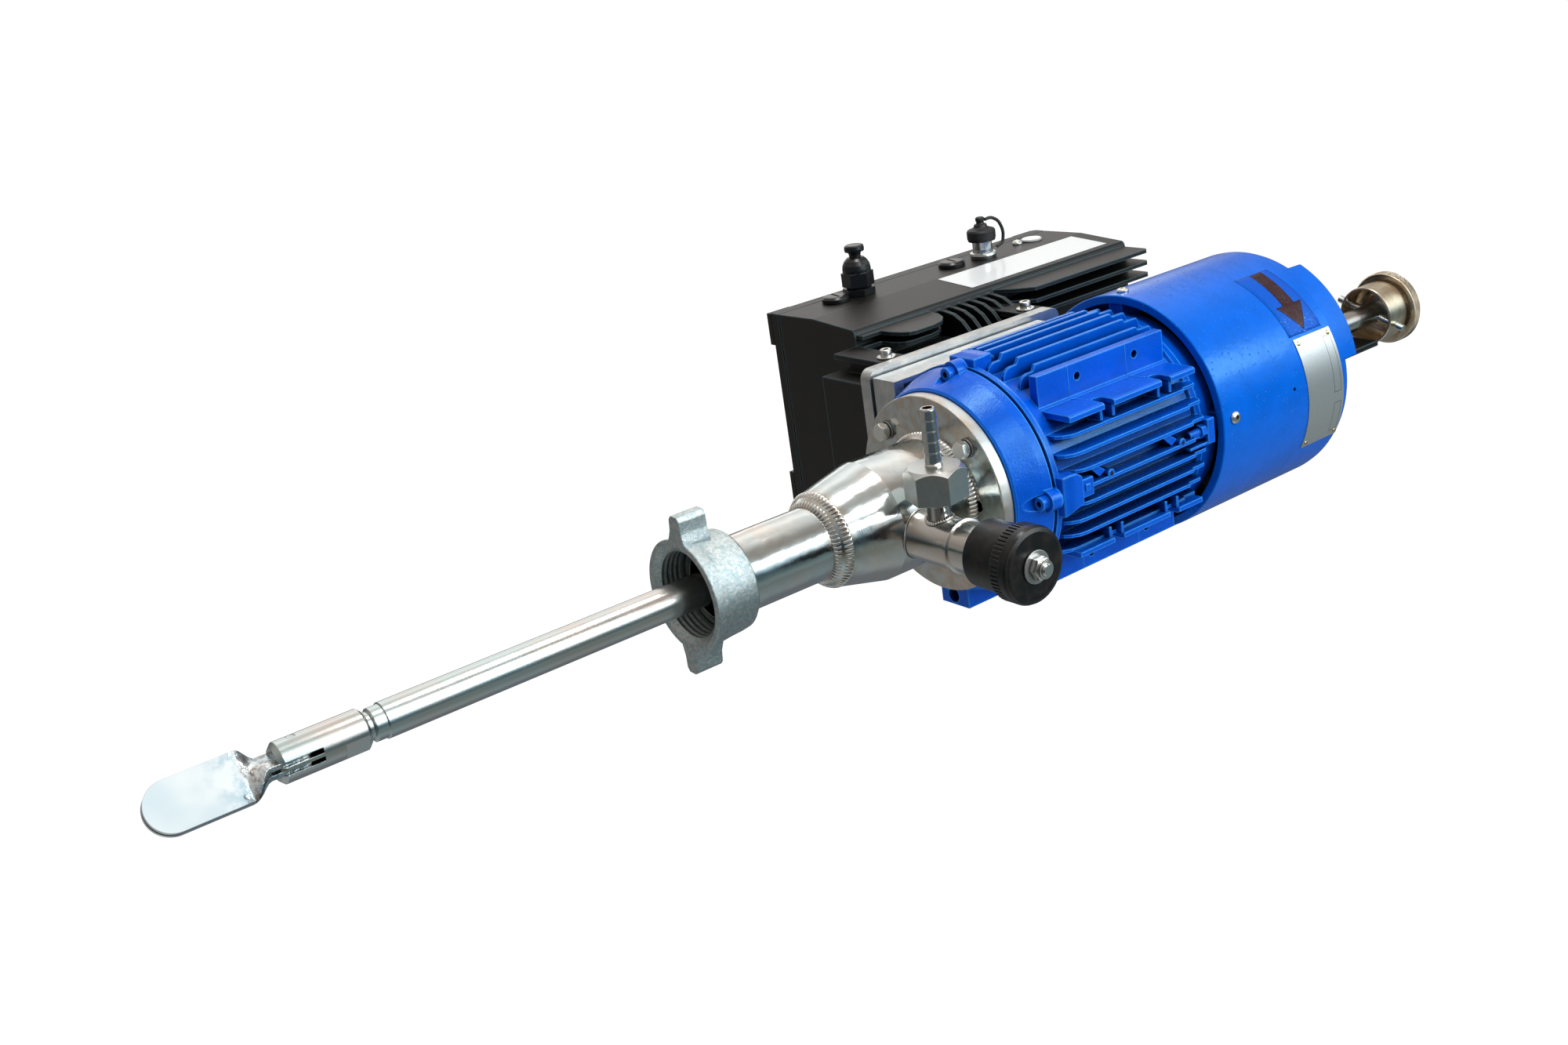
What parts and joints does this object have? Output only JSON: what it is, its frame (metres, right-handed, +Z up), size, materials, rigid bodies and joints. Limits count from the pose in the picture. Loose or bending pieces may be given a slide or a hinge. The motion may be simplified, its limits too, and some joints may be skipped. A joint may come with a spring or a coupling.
{
  "type": "industrial agitator",
  "caption": "Side-entry tank agitator: an inverter-fed hollow-shaft motor turns a sliding shaft with folding paddles through a wing-nut tank union with a drain valve.",
  "frame": {"origin": "centre of the face of the tank tube that seals against the tank's threaded port", "axes": "+X along the shaft towards the motor and the hand knob, paddles at -X; +Y towards the inverter; +Z up"},
  "size_m": [1.2365, 0.4872, 0.2477],
  "materials": {
    "stainless": "turned and welded stainless steel, polished",
    "shaft_steel": "ground stainless bar",
    "blade_steel": "mirror-polished stainless plate",
    "cast_stainless": "shot-blasted cast stainless",
    "zinc": "zinc-plated fasteners",
    "motor_blue": "gloss paint on cast aluminium",
    "cover_blue": "gloss paint on sheet steel",
    "core_steel": "stacked laminations",
    "winding": "varnished copper wire",
    "bearing_steel": "ground bearing steel",
    "black_rubber": "moulded rubber",
    "bronze": "turned and knurled bronze",
    "knob_black": "moulded phenolic",
    "nylon_blue": "moulded nylon",
    "black_coat": "powder coat on cast aluminium",
    "bar_black": "black coated steel strip",
    "raw_aluminium": "machined casting",
    "plate_film": "bare satin plate",
    "label_film": "bare film",
    "rivet_brass": "domed brass",
    "clear_glass": "clear",
    "board_green": "coated laminate",
    "gland_nickel": "nickel-plated brass",
    "plug_black": "moulded plastic",
    "fan_plastic": "moulded nylon"
  },
  "bodies": {
    "housing": {"lantern_housing": "stainless", "shaft_guide_bush": "bronze", "shaft_seal": "black_rubber", "flange_bolts": "zinc", "flange_washers": "zinc", "drive_end_shield": "motor_blue", "end_shield_screws": "motor_blue", "stator_frame": "motor_blue", "stator_core": "core_steel", "winding_heads": "winding", "rear_end_shield": "motor_blue", "front_bearing": "bearing_steel", "rear_bearing": "bearing_steel", "fan_cover": "cover_blue", "fan_cover_screws": "zinc", "nameplate": "plate_film", "nameplate_rivets": "rivet_brass", "rear_stop_bar": "bar_black", "valve_body": "stainless", "hose_nut": "stainless", "hose_barb": "stainless", "valve_bonnet": "stainless", "terminal_block": "raw_aluminium", "adapter_gasket": "black_rubber", "adapter_plate": "black_coat", "inverter_body": "black_coat", "inverter_screws": "zinc", "inverter_washers": "zinc", "circuit_board": "board_green", "lid_gasket": "black_rubber", "inverter_lid": "black_coat", "lid_screws": "zinc", "cable_gland_body": "plug_black", "gland_cap_nut": "plug_black", "gland_plug": "plug_black", "blanking_plugs": "plug_black", "connector_socket": "gland_nickel", "connector_cap": "black_rubber", "cap_strap": "black_rubber", "inspection_window": "clear_glass", "window_screw": "zinc", "rating_label": "label_film"},
    "wing_union": {"wing_nut": "cast_stainless"},
    "rotor": {"hollow_shaft": "shaft_steel", "shaft_clamp_ring": "shaft_steel", "rotor_core": "core_steel", "cooling_fan": "fan_plastic"},
    "paddle_shaft": {"agitator_shaft": "shaft_steel", "blade_hub": "shaft_steel", "blade_pin": "shaft_steel", "rear_knob": "bronze", "knob_cross_pin": "shaft_steel"},
    "upper_blade": {"blade_upper": "blade_steel"},
    "lower_blade": {"blade_lower": "blade_steel"},
    "valve_spindle": {"valve_stem": "stainless"},
    "valve_handwheel": {"valve_knob": "knob_black", "knob_washer": "zinc", "knob_lock_nut": "zinc"}
  },
  "joints": [
    {"name": "rotor_spin", "type": "hinge", "parent": "housing", "child": "rotor", "pos_m": [0.35, 0, 0], "axis": [1, 0, 0], "continuous": true},
    {"name": "shaft_slide", "type": "slide", "parent": "rotor", "child": "paddle_shaft", "axis": [1, 0, 0], "range_m": [0, 0.265]},
    {"name": "upper_blade_fold", "type": "hinge", "parent": "paddle_shaft", "child": "upper_blade", "pos_m": [-0.32, 0, 0.0028], "axis": [0, 0, 1], "range_deg": [0, 90]},
    {"name": "lower_blade_fold", "type": "hinge", "parent": "paddle_shaft", "child": "lower_blade", "pos_m": [-0.32, 0, -0.0028], "axis": [0, 0, -1], "range_deg": [0, 90]},
    {"name": "wing_nut_turn", "type": "hinge", "parent": "housing", "child": "wing_union", "pos_m": [0, 0, 0], "axis": [1, 0, 0], "continuous": true},
    {"name": "valve_stem_travel", "type": "slide", "parent": "housing", "child": "valve_spindle", "axis": [0, -1, 0], "range_m": [0, 0.0045]},
    {"name": "valve_knob_turn", "type": "hinge", "parent": "valve_spindle", "child": "valve_handwheel", "pos_m": [0.1634, -0.14, -0.0061], "axis": [0, -1, 0], "range_deg": [0, 540]}
  ],
  "couplings": [
    {"joint": "valve_stem_travel", "follows": "valve_knob_turn", "m_per_rad": 0.00047746}
  ]
}
